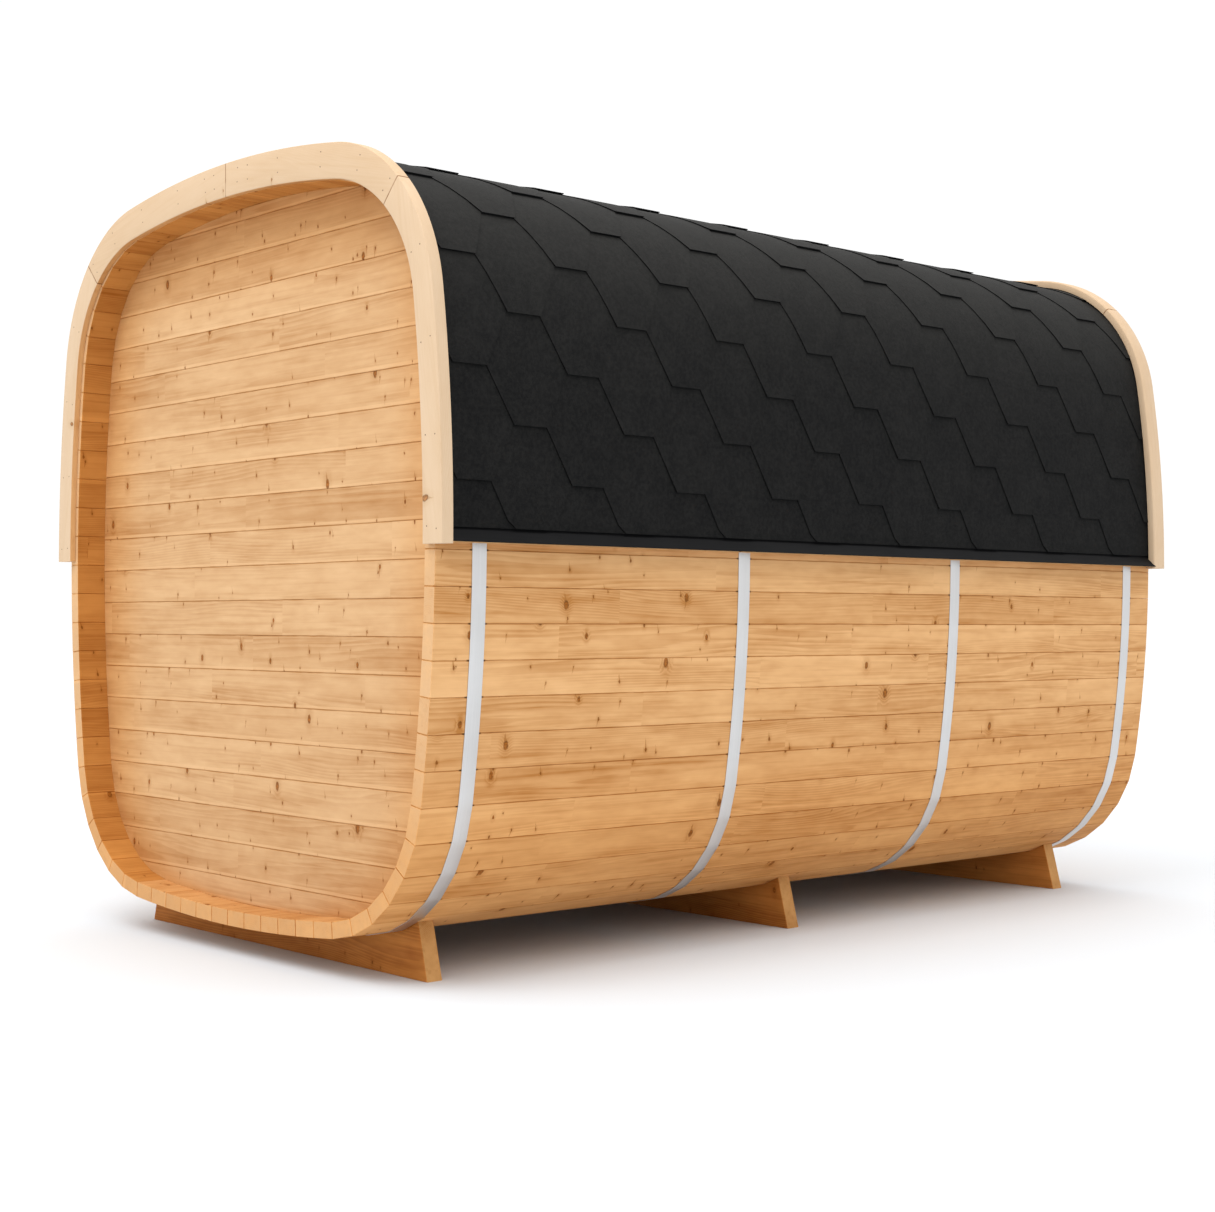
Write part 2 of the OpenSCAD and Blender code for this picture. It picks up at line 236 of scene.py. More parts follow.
def rounded(polygon, radius, steps=3):
    """A polygon with each corner replaced by an arc: the arc touches both edges radius / tan(half the corner)
    away, and its points turn evenly from one edge to the next."""
    p = np.asarray(polygon, float)
    r = np.broadcast_to(np.asarray(radius, float), len(p))[:, None]
    u, v = unit(np.roll(p, 1, 0) - p), unit(np.roll(p, -1, 0) - p)
    half = np.arccos(np.clip((u * v).sum(1, keepdims=True), -1, 1)) / 2
    centre = p + unit(u + v) * r / np.sin(half)
    first = p + u * r / np.tan(half) - centre
    turn = np.pi - 2 * half
    sign = np.sign(u[:, :1] * v[:, 1:] - u[:, 1:] * v[:, :1])
    angle = -sign * turn * np.linspace(0, 1, steps + 1)[None, :]
    c, s = np.cos(angle), np.sin(angle)
    x = centre[:, :1] + first[:, :1] * c - first[:, 1:] * s
    y = centre[:, 1:] + first[:, :1] * s + first[:, 1:] * c
    return np.stack([x, y], -1).reshape(-1, 2)


def plank(outer_w, inner_w, depth, ease, inner_ease, margin):
    """The section of a board with its face at 0: a wedge with rounded arrises, and points on both faces a
    margin in from them. Also returns 1 for points on the arrises and sides and 0 for those on the faces,
    and the sides of the section that make the inner face."""
    loop = rounded([(-outer_w, 0), (outer_w, 0), (inner_w, -depth), (-inner_w, -depth)],
                   [ease, ease, inner_ease, inner_ease])
    inset, inner_inset = outer_w - ease - margin, inner_w - inner_ease - margin
    section = np.concatenate([loop[:4], [[-inset, 0], [inset, 0]], loop[4:12],
                              [[inner_inset, -depth], [-inner_inset, -depth]], loop[12:]])
    return section, np.concatenate([np.ones(4), [0, 0], np.ones(8), [0, 0], np.ones(4)]), slice(10, 19)


def log_offset():
    """A random place in a log for one board: aside from the heart, far along the log, out from the heart."""
    return np.array([rng.uniform(-0.045, 0.045), rng.uniform(0, 150), rng.uniform(0.035, 0.12)])


# The pale strip is sapwood on the staves and door boards, and a painted highlight along the lower edge of the
# wall boards.
def sapwood_and_highlight_strip(across, half, share=0.22, narrow=9, wide=24, side=None):
    """Centimetres into the pale strip along one edge of a board, below 0 outside it: the strip's width less
    the distance from the edge. Only a share of the boards have a strip."""
    side, width, has = side or rng.choice([-1, 1]), rng.uniform(narrow, wide) * MM, rng.random() < share
    return (side * across - half + width) / 0.01 if has else np.full_like(across, NO_PALE_STRIP)


END_EASE, END_RIM, END_MARK = 1.2 * MM, 2 * MM, 1.4


def beam(pile, section, path_from, path_to, across, out, arris=0.0, inside=None):
    """A straight board: a closed section (across, out) carried from one point to another, its ends eased
    and marked by a narrow rim inside their outline. The sides named inside take a second finish."""
    start, end = np.asarray(path_from, float), np.asarray(path_to, float)
    length = np.linalg.norm(end - start)
    along = np.array([0, 0, END_EASE, length - END_EASE, length, length])[:, None]
    middle, half = (section.max(0) + section.min(0)) / 2, (section.max(0) - section.min(0)) / 2
    inset = np.array([END_EASE + END_RIM, END_EASE, 0, 0, END_EASE, END_EASE + END_RIM])[:, None, None]
    local = middle + (section - middle) * (1 - inset / half)
    rings = (start + (end - start) / length * along[..., None]
             + local[..., :1] * np.asarray(across, float) + local[..., 1:] * np.asarray(out, float))
    grain = place(local[..., 0], along, local[..., 1]) + log_offset()
    edge = np.broadcast_to(arris, local.shape[:2]) * np.array([0, END_MARK, 1, 1, END_MARK, 0])[:, None]
    edge[[0, -1]] = -1
    strip = sapwood_and_highlight_strip(local[..., 0] - middle[0], half[0])
    skins = np.zeros((len(along) - 1, len(section)), int)
    if inside:
        skins[1:-1, inside] = 1
    pile.shell(rings, grain, skins, tone=rng.uniform(-1, 1), arris=edge, sapwood_and_highlight=strip)


# ---------- finishes
class Flow:
    """What a node gives out. Sums, products and quotients of flows and numbers are worked out by nodes."""

    def __init__(self, mix, socket):
        self.mix, self.socket = mix, socket

    def __add__(self, other):
        return self.mix.calc("ADD", self, other)

    def __sub__(self, other):
        return self.mix.calc("SUBTRACT", self, other)

    def __rsub__(self, other):
        return self.mix.calc("SUBTRACT", other, self)

    def __mul__(self, other):
        return self.mix.calc("MULTIPLY", self, other)

    def __truediv__(self, other):
        return self.mix.calc("DIVIDE", self, other)


class Mix:
    """A node tree, with a short word for each kind of node that the finishes use."""

    def __init__(self, tree):
        self.tree = tree

    def feed(self, socket, value):
        """Fills a socket with a number, a colour or a flow."""
        if isinstance(value, Flow):
            self.tree.links.new(value.socket, socket)
        else:
            socket.default_value = (*value, 1) if isinstance(value, tuple) else value

    def put(self, kind, links, out=0, **settings):
        """Adds a node, sets its properties, fills its sockets and gives the flow from one or more of them."""
        node = self.tree.nodes.new("ShaderNode" + kind)
        for key, value in settings.items():
            setattr(node, key, value)
        for key, value in links.items():
            self.feed(node.inputs[key], value)
        if isinstance(out, tuple):
            return [Flow(self, node.outputs[key]) for key in out]
        return Flow(self, node.outputs[out])

    def calc(self, op, *values, clamp=False):
        """One step of arithmetic."""
        return self.put("Math", dict(enumerate(values)), operation=op, use_clamp=clamp)

    def ramp(self, value, low, high, to_low=0.0, to_high=1.0):
        """A smooth step from to_low to to_high while value goes from low to high."""
        return self.put("MapRange", {"Value": value, "From Min": low, "From Max": high, "To Min": to_low,
                                     "To Max": to_high}, "Result", interpolation_type="SMOOTHSTEP")

    def vector(self, x, y, z):
        """Three numbers as one vector."""
        return self.put("CombineXYZ", {0: x, 1: y, 2: z})

    def parts(self, value, kind="XYZ"):
        """The three numbers of a vector, or of a colour where kind says Color."""
        return self.put("Separate" + kind, {0: value}, (0, 1, 2))

    def own(self, title, out="Fac"):
        """An attribute of the piece."""
        return self.put("Attribute", {}, out, attribute_name=title)

    def spot(self, out="Object"):
        """The place on the object, in its own coordinates."""
        return self.put("TexCoord", {}, out)

    def tint(self, share, a, b, blend="MIX"):
        """Mixes two colours by a share."""
        return self.put("Mix", {0: share, 6: a, 7: b}, 2, data_type="RGBA", blend_type=blend)

    def noise(self, where, scale, detail=2.0, rough=0.5):
        """Soft noise at a place."""
        return self.put("TexNoise", {"Vector": where, "Scale": scale, "Detail": detail, "Roughness": rough})


class Finish(Mix):
    """A material, with the shader that its colour, roughness and relief go into."""

    def __init__(self, name):
        self.material = bpy.data.materials.new(name)
        self.material.use_nodes = True
        super().__init__(self.material.node_tree)
        self.inputs = self.tree.nodes["Principled BSDF"].inputs

    def done(self, colour, rough, specular, relief=None, strength=0.0, depth=0.0, metallic=0.0):
        """Fills the shader and returns the material. Relief of a strength and depth comes from one flow."""
        self.feed(self.inputs["Base Color"], colour)
        self.feed(self.inputs["Roughness"], rough)
        self.inputs["Specular IOR Level"].default_value = specular
        self.inputs["Metallic"].default_value = metallic
        if relief:
            bump = self.put("Bump", {"Height": relief, "Strength": strength, "Distance": depth})
            self.feed(self.inputs["Normal"], bump)
        return self.material


def shade(colour, share):
    """A colour with all its channels times a share."""
    return tuple(channel * share for channel in colour)


KNOT, JOINT, CUT_END = (0.200, 0.062, 0.0070), (0.74, 0.60, 0.42), (0.615, 0.385, 0.205)
# tints of painted shade: near the ground, and in the corners of the end walls against the hull
GROUND_SHADE_TINT, CORNER_SHADE_TINT = (0.97, 0.86, 0.70), (0.96, 0.81, 0.61)


def timber(name, light, deep, knot=KNOT, joint=JOINT, ring=0.0062, contrast=1.0, knots=1.0, in_log=True,
           lengths=0.05, strap_shadows=None, strips=0.40, ground_shade=False, shade_corners=False):
    """Softwood: lengths glued end to end, yearly rings around the heart of the log, streaks along the fibres,
    knots that the rings flow around, spikes across the board, pale sapwood strips, cut ends and darker
    joints.
    Painted light: along the lower edge of the wall boards the pale strips are a painted highlight, and
    painted shade darkens the wood near the ground, in the corners against the hull and in the joints beside
    the bands.
    Boards that aren't cut from a log of their own read their place on the object."""
    f = Finish(name)
    x, y, z = f.parts(f.own("grain", "Vector") if in_log else f.spot())
    tone, arris, sapwood_and_highlight = f.own("tone"), f.own("arris"), f.own("sapwood_and_highlight")

    def stretched(across, along):
        """The place in the log with one scale across the fibres and one along them."""
        return f.vector(x * across, y * along, z * across)

    # lengths glued end to end: each has its own place in the log and its own tone
    if lengths:
        bend = f.noise(f.vector(0.0, y, 0.0), 0.9, 0.0) * 0.9
        length = f.calc("FLOOR", y / 1.05 + bend)
        dice = f.parts(f.put("TexWhiteNoise", {"W": length}, "Color", noise_dimensions="1D"), "Color")
        x = x + (dice[0] - 0.5) * 0.04
        z = z + (dice[1] - 0.5) * 0.04
        tone = tone + (dice[2] - 0.5) * (lengths * 6)
    uncut = f.ramp(arris, -0.35, -0.05)

    # knots: large ones and small ones, each in a cell of its own, longer across the board than along it
    wobble = f.noise(f.vector(x, y, 0.0), 130.0, 1.0, 0.6)
    ripple = (wobble - 0.5) * 0.006
    flat = f.vector(y + ripple, (x - ripple) * 0.62, 0.0)

    def knot_field(scale, small, large, share):
        """Distance from the nearest knot over its radius, whether there is one, radius, place and dice."""
        far, colour, heart = f.put("TexVoronoi", {"Vector": flat, "Scale": scale, "Randomness": 1.0},
                                   ("Distance", "Color", "Position"), voronoi_dimensions="2D")
        dice = f.parts(colour, "Color")
        radius = f.calc("POWER", dice[0], 1.6) * (large - small) + small
        there = f.calc("LESS_THAN", dice[1], share) * uncut
        offset = f.put("VectorMath", {0: flat, 1: heart}, operation="SUBTRACT")
        return far / scale / radius, there, radius, f.parts(offset), dice[2]

    def spike(knot_parts, reach):
        """A narrow brown wedge from a knot towards one edge of the board, its sides closing with distance."""
        _, there, radius, (ox, oy, _), dice = knot_parts
        way = oy * f.calc("SIGN", dice - 0.55)
        far = way / reach
        half = radius * 0.75 * (1.0 - far)
        lean = f.calc("ABSOLUTE", ox + oy * ((dice - 0.5) * 0.8))
        wedge = f.ramp(lean - half, 0.0006, -0.0006) * f.ramp(way, 0.0, 0.002) * f.ramp(far, 1.0, 0.55)
        return wedge * there * f.calc("GREATER_THAN", f.calc("ABSOLUTE", dice - 0.5), 0.2)

    big = knot_field(4.1, 0.0034, 0.0098, 0.62 * knots)
    small = knot_field(9.3, 0.0019, 0.0044, 0.85 * knots)
    ratio, there, radius = big[:3]
    body = f.ramp(ratio, 1.1, 0.8) * there
    rim = f.ramp(ratio, 0.55, 0.92) * f.ramp(ratio, 1.3, 1.0) * there
    halo = f.ramp(ratio, 4.2, 0.8) * there
    little = f.ramp(small[0], 1.25, 0.6) * small[1]
    little_halo = f.ramp(small[0], 4.0, 0.8) * small[1]
    tails = f.calc("MAXIMUM", spike(big, 0.028), spike(small, 0.018))

    # rings: distance from a heart line that wanders along the board, pushed aside by the knots
    heart_x = x + (f.noise(stretched(1.2, 0.9), 1.0, 1.0, 0.4) - 0.5) * 0.14
    out = f.calc("SQRT", heart_x * heart_x + z * z) + halo * halo * (radius * 1.1)
    out = out + (f.noise(stretched(15.0, 1.3), 1.0, 0.0) - 0.5) * 0.022
    fibre = f.noise(stretched(60.0, 1.6), 1.0, 2.0, 0.6)
    year = f.calc("FRACT", out / ring + fibre * 1.1)
    cloud = f.noise(stretched(8.0, 1.0), 1.0, 1.0)
    late = f.ramp(year, 0.1, 0.86) * f.ramp(year, 1.0, 0.9) * f.ramp(cloud, 0.34, 0.68)
    fine = f.noise(stretched(420.0, 7.0), 1.0, 1.0, 0.6)
    blotch = f.noise(stretched(24.0, 7.0), 1.0, 2.0, 0.6)

    # from the light tone to the deep one
    depth = (late * 0.25 + (fine - 0.5) * 0.15 + f.ramp(fibre, 0.50, 0.72) * 0.22 + (cloud - 0.5) * 0.60
             + (blotch - 0.5) * 0.62 + tone * 0.115) * contrast
    depth = f.calc("ADD", depth + (halo * 0.28 + little_halo * 0.20), 0.27, clamp=True)
    colour = f.tint(depth, light, deep)
    if in_log:
        # pale strip: sapwood on the staves and door boards, a painted highlight along the lower edge of the
        # wall boards
        strip = f.ramp(sapwood_and_highlight + (fibre - 0.5) * 0.5, -0.12, 0.12)
        colour = f.tint(strip * strips, colour, shade(light, 1.14))
        colour = f.tint(f.ramp(blotch, 0.30, 0.70, 0.55, 0.85) * (1.0 - uncut), colour, CUT_END)
    colour = f.tint(tails * 0.72, colour, tuple((k + 2 * d) / 3 for k, d in zip(knot, deep)))
    knot_colour = f.tint(f.ramp(wobble, 0.35, 0.65), shade(knot, 0.9), shade(knot, 1.7))
    colour = f.tint(body * f.ramp(radius, 0.0034, 0.0085, 0.97, 0.88), colour, knot_colour)
    colour = f.tint(rim * f.ramp(blotch, 0.35, 0.6, 0.10, 0.60), colour, shade(knot, 0.55))
    colour = f.tint(little * 0.88, colour, knot)
    worn = f.ramp(blotch, 0.36, 0.62, 0.40, 1.0)
    colour = f.tint(f.ramp(arris, 0.35, 1.0) * worn, colour, joint, "MULTIPLY")
    # painted shade: the wood darkens towards the ground, fully below a third of a metre
    if ground_shade:
        height = f.parts(f.spot())[2]
        colour = f.tint(f.ramp(height, 0.80, 0.33), colour, GROUND_SHADE_TINT, "MULTIPLY")
    # painted shade: darker and more orange in the corners of the end walls against the hull
    if shade_corners:
        colour = f.tint(f.ramp(f.own("corner_shade"), 0.0, 1.0), colour, CORNER_SHADE_TINT, "MULTIPLY")
    if strap_shadows:
        # painted shadow in the joints beside the bands, whose place and pitch along the hull are given
        beside = f.calc("PINGPONG", f.parts(f.spot())[1] - strap_shadows[0], strap_shadows[1] / 2)
        strap_shadow = f.ramp(beside, 0.036, 0.029) * f.ramp(arris, 0.15, 0.7)
        colour = f.tint(strap_shadow * 0.85, colour, shade(knot, 0.3))
    return f.done(colour, f.ramp(late, 0.0, 1.0, 0.66, 0.55), 0.09, fine, 0.25, 0.0009)


def granules(name):
    """Mineral granules pressed into felt: grains of grey shades, worn patches, and a lighter tone towards the
    crown, partly dust and partly a painted sheen.
    """
    f = Finish(name)
    where = f.spot()
    shade_of_grain = f.parts(f.put("TexVoronoi", {"Vector": where, "Scale": 620.0}, "Color"), "Color")[0]
    mottle = f.ramp(f.noise(where, 14.0, 2.0, 0.6), 0.32, 0.68)
    speck = f.ramp(f.noise(where, 75.0, 3.0, 0.75), 0.36, 0.64)
    # lighter towards the crown: partly dust, partly a painted sheen of the bright sky
    dust_and_sheen = f.ramp(f.parts(where)[2], 1.65, 2.45)
    share = shade_of_grain * 0.18 + mottle * 0.13 + speck * 0.25 + dust_and_sheen * 0.72
    share = f.calc("ADD", share, f.own("tone") * 0.03, clamp=True)
    colour = f.tint(share, (0.0010, 0.0012, 0.0014), (0.0190, 0.0183, 0.0168))
    return f.done(colour, 0.86, 0.14, shade_of_grain, 0.5, 0.0009)


def bitumen(name):
    """The black cut edge and underside of a shingle, with a slightly greasy, uneven face."""
    f = Finish(name)
    grit = f.noise(f.spot(), 260.0, 3.0, 0.6)
    colour = f.tint(grit, (0.0010, 0.0010, 0.0011), (0.004, 0.004, 0.0042))
    return f.done(colour, f.ramp(grit, 0.3, 0.7, 0.75, 0.6), 0.10, grit, 0.4, 0.0006)


def metal(name, light, dark, rough, metallic=1.0, gloss=0.5):
    """Rolled sheet: fine lines along its length, a soft cloudiness and faint smears."""
    f = Finish(name)
    where = f.own("grain", "Vector")
    x, y, z = f.parts(where)
    lines = f.noise(f.vector(x * 900.0, y * 4.0, z), 1.0, 3.0, 0.6)
    share = f.calc("ADD", lines * 0.55, f.noise(where, 5.0, 3.0) * 0.45, clamp=True)
    roughness = f.ramp(share, 0.25, 0.75, rough + 0.08, rough - 0.05)
    return f.done(f.tint(share, dark, light), roughness, gloss, lines, 0.08, 0.0003, metallic)


band_y, next_band_y = span("band_rear", "y")[0], span("band_mid_rear", "y")[0]
pine = timber("honey_pine", (0.748, 0.437, 0.200), (0.428, 0.180, 0.045), contrast=1.1, strips=0.62,
              ground_shade=True, strap_shadows=(band_y, next_band_y - band_y))
# painted shade of the end recesses: darker, more saturated copies of the pine for the inner faces of the
# staves, deepest on the sides and roof
floor_pine = timber("floor_pine", (0.66, 0.345, 0.132), (0.38, 0.142, 0.030))
inner_pine_painted_shade = timber("inner_pine_painted_shade", (0.565, 0.250, 0.062), (0.32, 0.102, 0.014))
wall_pine = timber("wall_pine", (0.645, 0.407, 0.213), (0.400, 0.188, 0.063), ring=0.0085, knots=1.25,
                   shade_corners=True)
trim_pine = timber("pale_trim", (0.642, 0.480, 0.328), (0.515, 0.340, 0.190), (0.26, 0.11, 0.035),
                   (0.34, 0.19, 0.09), ring=0.004, contrast=0.55, knots=0.25, lengths=0)
sawn_trim = timber("sawn_trim_edge", (0.66, 0.39, 0.175), (0.44, 0.20, 0.062), joint=(0.24, 0.12, 0.05),
                   ring=0.004, knots=0.5, lengths=0)
cradle_end = timber("cradle_end", (0.60, 0.325, 0.120), (0.33, 0.135, 0.032), ring=0.004, knots=0, lengths=0)
cradle_pine = timber("cradle_pine", (0.60, 0.240, 0.055), (0.30, 0.090, 0.012), contrast=1.3, lengths=0)
door_pine = timber("door_pine", (0.785, 0.470, 0.218), (0.46, 0.200, 0.055), lengths=0)
pull_wood = timber("pull_wood", (0.42, 0.20, 0.075), (0.25, 0.10, 0.032), ring=0.003, knots=0, lengths=0)
deck_wood = timber("deck_wood", (0.74, 0.44, 0.20), (0.45, 0.20, 0.06), in_log=False, lengths=0)
felt = granules("charcoal_granules")
cut_edge = bitumen("black_bitumen")
band_steel = metal("band_steel", (0.76, 0.745, 0.735), (0.49, 0.48, 0.47), 0.36)
hinge_steel = metal("hinge_steel", (0.74, 0.75, 0.76), (0.50, 0.51, 0.53), 0.32)
black_sheet = metal("black_sheet", (0.0062, 0.0062, 0.0066), (0.0034, 0.0034, 0.0038), 0.5, 0.0, 0.06)
nail_steel = metal("nail_steel", (0.16, 0.10, 0.06), (0.08, 0.045, 0.025), 0.6, 0.4)


# ---------- staves
STAVE_EASE, INNER_EASE, FACE_MARGIN = 1.5 * MM, 1.2 * MM, 1.5 * MM


def staves(name, run, side=1):
    """The staves of one curve: each is a wedge between two rays from the centre of the curve, flat outside
    and inside, its arrises rounded, carried along the hull."""
    centre, radius, start, end = run
    count = stave_count(run)
    step = (end - start) / count
    half = step / 2
    outer_w = radius * math.sin(half) - STAVE_GAP / 2
    inner_w = (radius - STAVE_T) * math.sin(half) - STAVE_GAP / 2
    depth = STAVE_T * math.cos(half)
    wedge, arris, inside = plank(outer_w, inner_w, depth, STAVE_EASE, INNER_EASE, FACE_MARGIN)
    pile = Pile()
    for i in range(count):
        angle = start + (i + 0.5) * step
        normal, along = rays(angle) * [side, 1], rays(angle + math.pi / 2) * [side, 1]
        face = around(centre, radius * math.cos(half), angle)
        beam(pile, wedge, stand(face, -HALF_L, side), stand(face, HALF_L, side),
             (along[0], 0, along[1]), (normal[0], 0, normal[1]), arris, inside)
    # the inner faces take a copy of the pine darkened as painted shade of the recess
    within = floor_pine if centre is floor_c else inner_pine_painted_shade
    pile.piece("boards_" + name, [pine, within], [name])


staves("floor_staves", FLOOR_RUN)
staves("lower_right_staves", LOW_RUN)
staves("lower_left_staves", LOW_RUN, -1)
staves("right_wall_staves", SIDE_RUN)
staves("left_wall_staves", SIDE_RUN, -1)
staves("upper_right_staves", HIGH_RUN)
staves("upper_left_staves", HIGH_RUN, -1)
staves("roof_staves", ROOF_RUN)


# ---------- end walls
# reach of the painted shade in the corners of the end walls against the hull
CORNER_SHADE_REACH = 380 * MM
BOARD_COUNT = math.ceil((HULL_H - 2 * STAVE_T - FIRST_BOARD) / BOARD_COVER) + 1
CORNER_REACH, CURVED_LEVELS = 560 * MM, 16  # boards this near the floor or roof follow its curve in levels
BOARD_EASE, BOARD_MARGIN, BOARD_REST = 1.7 * MM, 3.4 * MM, 0.5 * MM  # the rest is the gap to the staves
BOARD_SHARES = np.array([0, 0.03, 0.08, 0.15, 0.3, 0.5, 0.7, 0.85, 0.92, 0.97, 1.0])[:, None]


def wall_boards(name, y_low, facing, x_from, x_to, z_from=0, z_to=HULL_H):
    """Horizontal boards: a slab with rounded arrises, each level of it as wide as x_from and x_to say,
    which follow the inside of the staves. facing is the side that looks out. A painted shade in the corners
    rises towards the staves: 1 less the distance from them over its reach."""
    pile = Pile()
    roof = corners(ROOF_RUN, -STAVE_T)
    roof = np.sort(roof[roof[:, 0] > -0.1], axis=0)
    for i in range(BOARD_COUNT):
        top = STAVE_T + FIRST_BOARD + i * BOARD_COVER - BOARD_GAP / 2
        low = max(top - BOARD_COVER + BOARD_GAP, z_from, STAVE_T + BOARD_REST)
        top = min(top, z_to, HULL_H - STAVE_T - BOARD_REST)
        if top - low < MM:
            continue
        levels = CURVED_LEVELS if low < CORNER_REACH or top > HULL_H - CORNER_REACH else 2
        slab = rounded([(0, low), (WALL_T, low), (WALL_T, top), (0, top)], min(BOARD_EASE, (top - low) / 4))
        n = len(slab) // 4
        margin = min(BOARD_MARGIN, (top - low) / 3)
        rise = np.linspace(low + margin, top - margin, levels)
        y, h = np.concatenate([slab[n:2 * n], place(WALL_T, rise), slab[2 * n:],
                               place(0, rise[::-1]), slab[:n]]).T
        x0, x1 = x_from(h), x_to(h)
        rings = place(x0 + (x1 - x0) * BOARD_SHARES, y_low + y, h + GROUND_LIFT)
        aside = inner_half_width(h) - np.abs(rings[..., 0])
        above = np.interp(np.abs(rings[..., 0]), roof[:, 0], roof[::-1, 1]) - h
        # painted shade, strongest where the board meets the staves or the roof
        corner_shade = np.clip(1 - np.minimum(aside, above) / CORNER_SHADE_REACH, 0, 1)
        up = h - (low + top) / 2
        grain = place(up, rings[..., 0], y - WALL_T if facing > 0 else -y) + log_offset()
        edge = np.concatenate([np.ones(n), np.zeros(levels), np.ones(2 * n), np.zeros(levels), np.ones(n)])
        # painted highlight: a pale strip along the lower edge of most boards, where a bevel would catch the
        # light
        strip = sapwood_and_highlight_strip(up, (top - low) / 2, share=0.85, narrow=8, wide=13, side=-1)
        pile.shell(rings, grain, ladder=True, tone=rng.uniform(-1, 1), arris=edge, sapwood_and_highlight=strip, corner_shade=corner_shade)
    pile.piece("cladding_" + name, [wall_pine], [name], merge=1e-6)


def level(value):
    """The same place at every height."""
    return lambda h: np.full_like(h, value)


def staves_inside(side, most=HALF_W):
    """The inside of the staves on one side at each height, but no further out than most."""
    return lambda h: side * np.minimum(most, inner_half_width(h))


to_left, to_right = staves_inside(-1), staves_inside(1)
rear_face, front_inner = limit("rear_wall_boards", 0, "y"), limit("front_wall_left", 0, "y")
frame_x = limit("door_frame", 1, "x")
frame_low, frame_high = (corner.z - GROUND_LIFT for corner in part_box("door_frame"))
over_door = staves_inside(-1, frame_x), staves_inside(1, frame_x)
wall_boards("rear_wall_boards", rear_face, -1, to_left, to_right)
wall_boards("front_wall_left", front_inner, 1, to_left, level(-frame_x - FIT))
wall_boards("front_wall_right", front_inner, 1, level(frame_x + FIT), to_right)
wall_boards("front_wall_head", front_inner, 1, *over_door, z_from=frame_high + FIT)
wall_boards("front_wall_sill", front_inner, 1, *over_door, z_to=frame_low - FIT)


# ---------- upper curve, from the eave to the crown
def upper_lengths(reference):
    """Where the eave stands on the side's circle, and the lengths of the side and of the corner above it,
    at an offset of reference: each a turn times (radius + reference)."""
    start = math.asin((EAVE_H - WAIST_H) / (SIDE_R + reference))
    return start, (a_high - start) * (SIDE_R + reference), (a_roof - a_high) * (UPPER_R + reference)


def upper_curve(distance, reference):
    """Centre, radius and angle of the curve at distances from the eave, measured at an offset of reference:
    along the side, round the corner and over the roof, each angle a distance / (radius + reference)."""
    start, side_len, high_len = upper_lengths(reference)
    radii, centres = np.array([SIDE_R, UPPER_R, ROOF_R]), np.stack([side_c, upper_c, roof_c])
    angles, lengths = np.array([start, a_high, a_roof]), np.array([0, side_len, side_len + high_len])
    k = np.searchsorted(lengths[1:], distance, side="right")
    return centres[k], radii[k], angles[k] + (distance - lengths[k]) / (radii[k] + reference)


def crown_distance(reference):
    """Distance from the eave to the crown at an offset of reference."""
    return sum(upper_lengths(reference)[1:]) + (math.pi / 2 - a_roof) * (ROOF_R + reference)


# ---------- shingles
TAB_PITCH, TAB_FLAT, TAB_SLOPE, EXPOSURE = 412 * MM, 120 * MM, 86 * MM, 161.8 * MM
FELT_T, FELT_TOP = 3.05 * MM, 40 * MM
ROW_START, TAB_CENTRE, TABS = 17 * MM, -1599 * MM, np.arange(-2, 11)
TAB_MARKS = np.array([-206, -176, -146, -117.3, -88.7, -60, -20, 20, 60, 88.7, 117.3, 146, 176]) * MM
COURSE_SHARES = np.array([0, 0.02, 0.06, 0.13, 0.21, 0.3, 0.4, 0.5, 0.6, 0.7, 0.8, 0.9, 1.0])
DICE = 64  # random numbers drawn for the tabs of one course
CURL_REACH, FELT_REST = 20 * MM, 0.05 * MM


def sheet(pile, over, under, tone):
    """A closed sheet of felt between two grids of points: granules above, bitumen below and at the edges."""
    rings = np.concatenate([over, under[:, ::-1]], 1)
    skins = np.ones(rings.shape[1], int)
    skins[:over.shape[1] - 1] = 0
    pile.shell(rings, skin=skins, rim_skin=1, tone=tone)


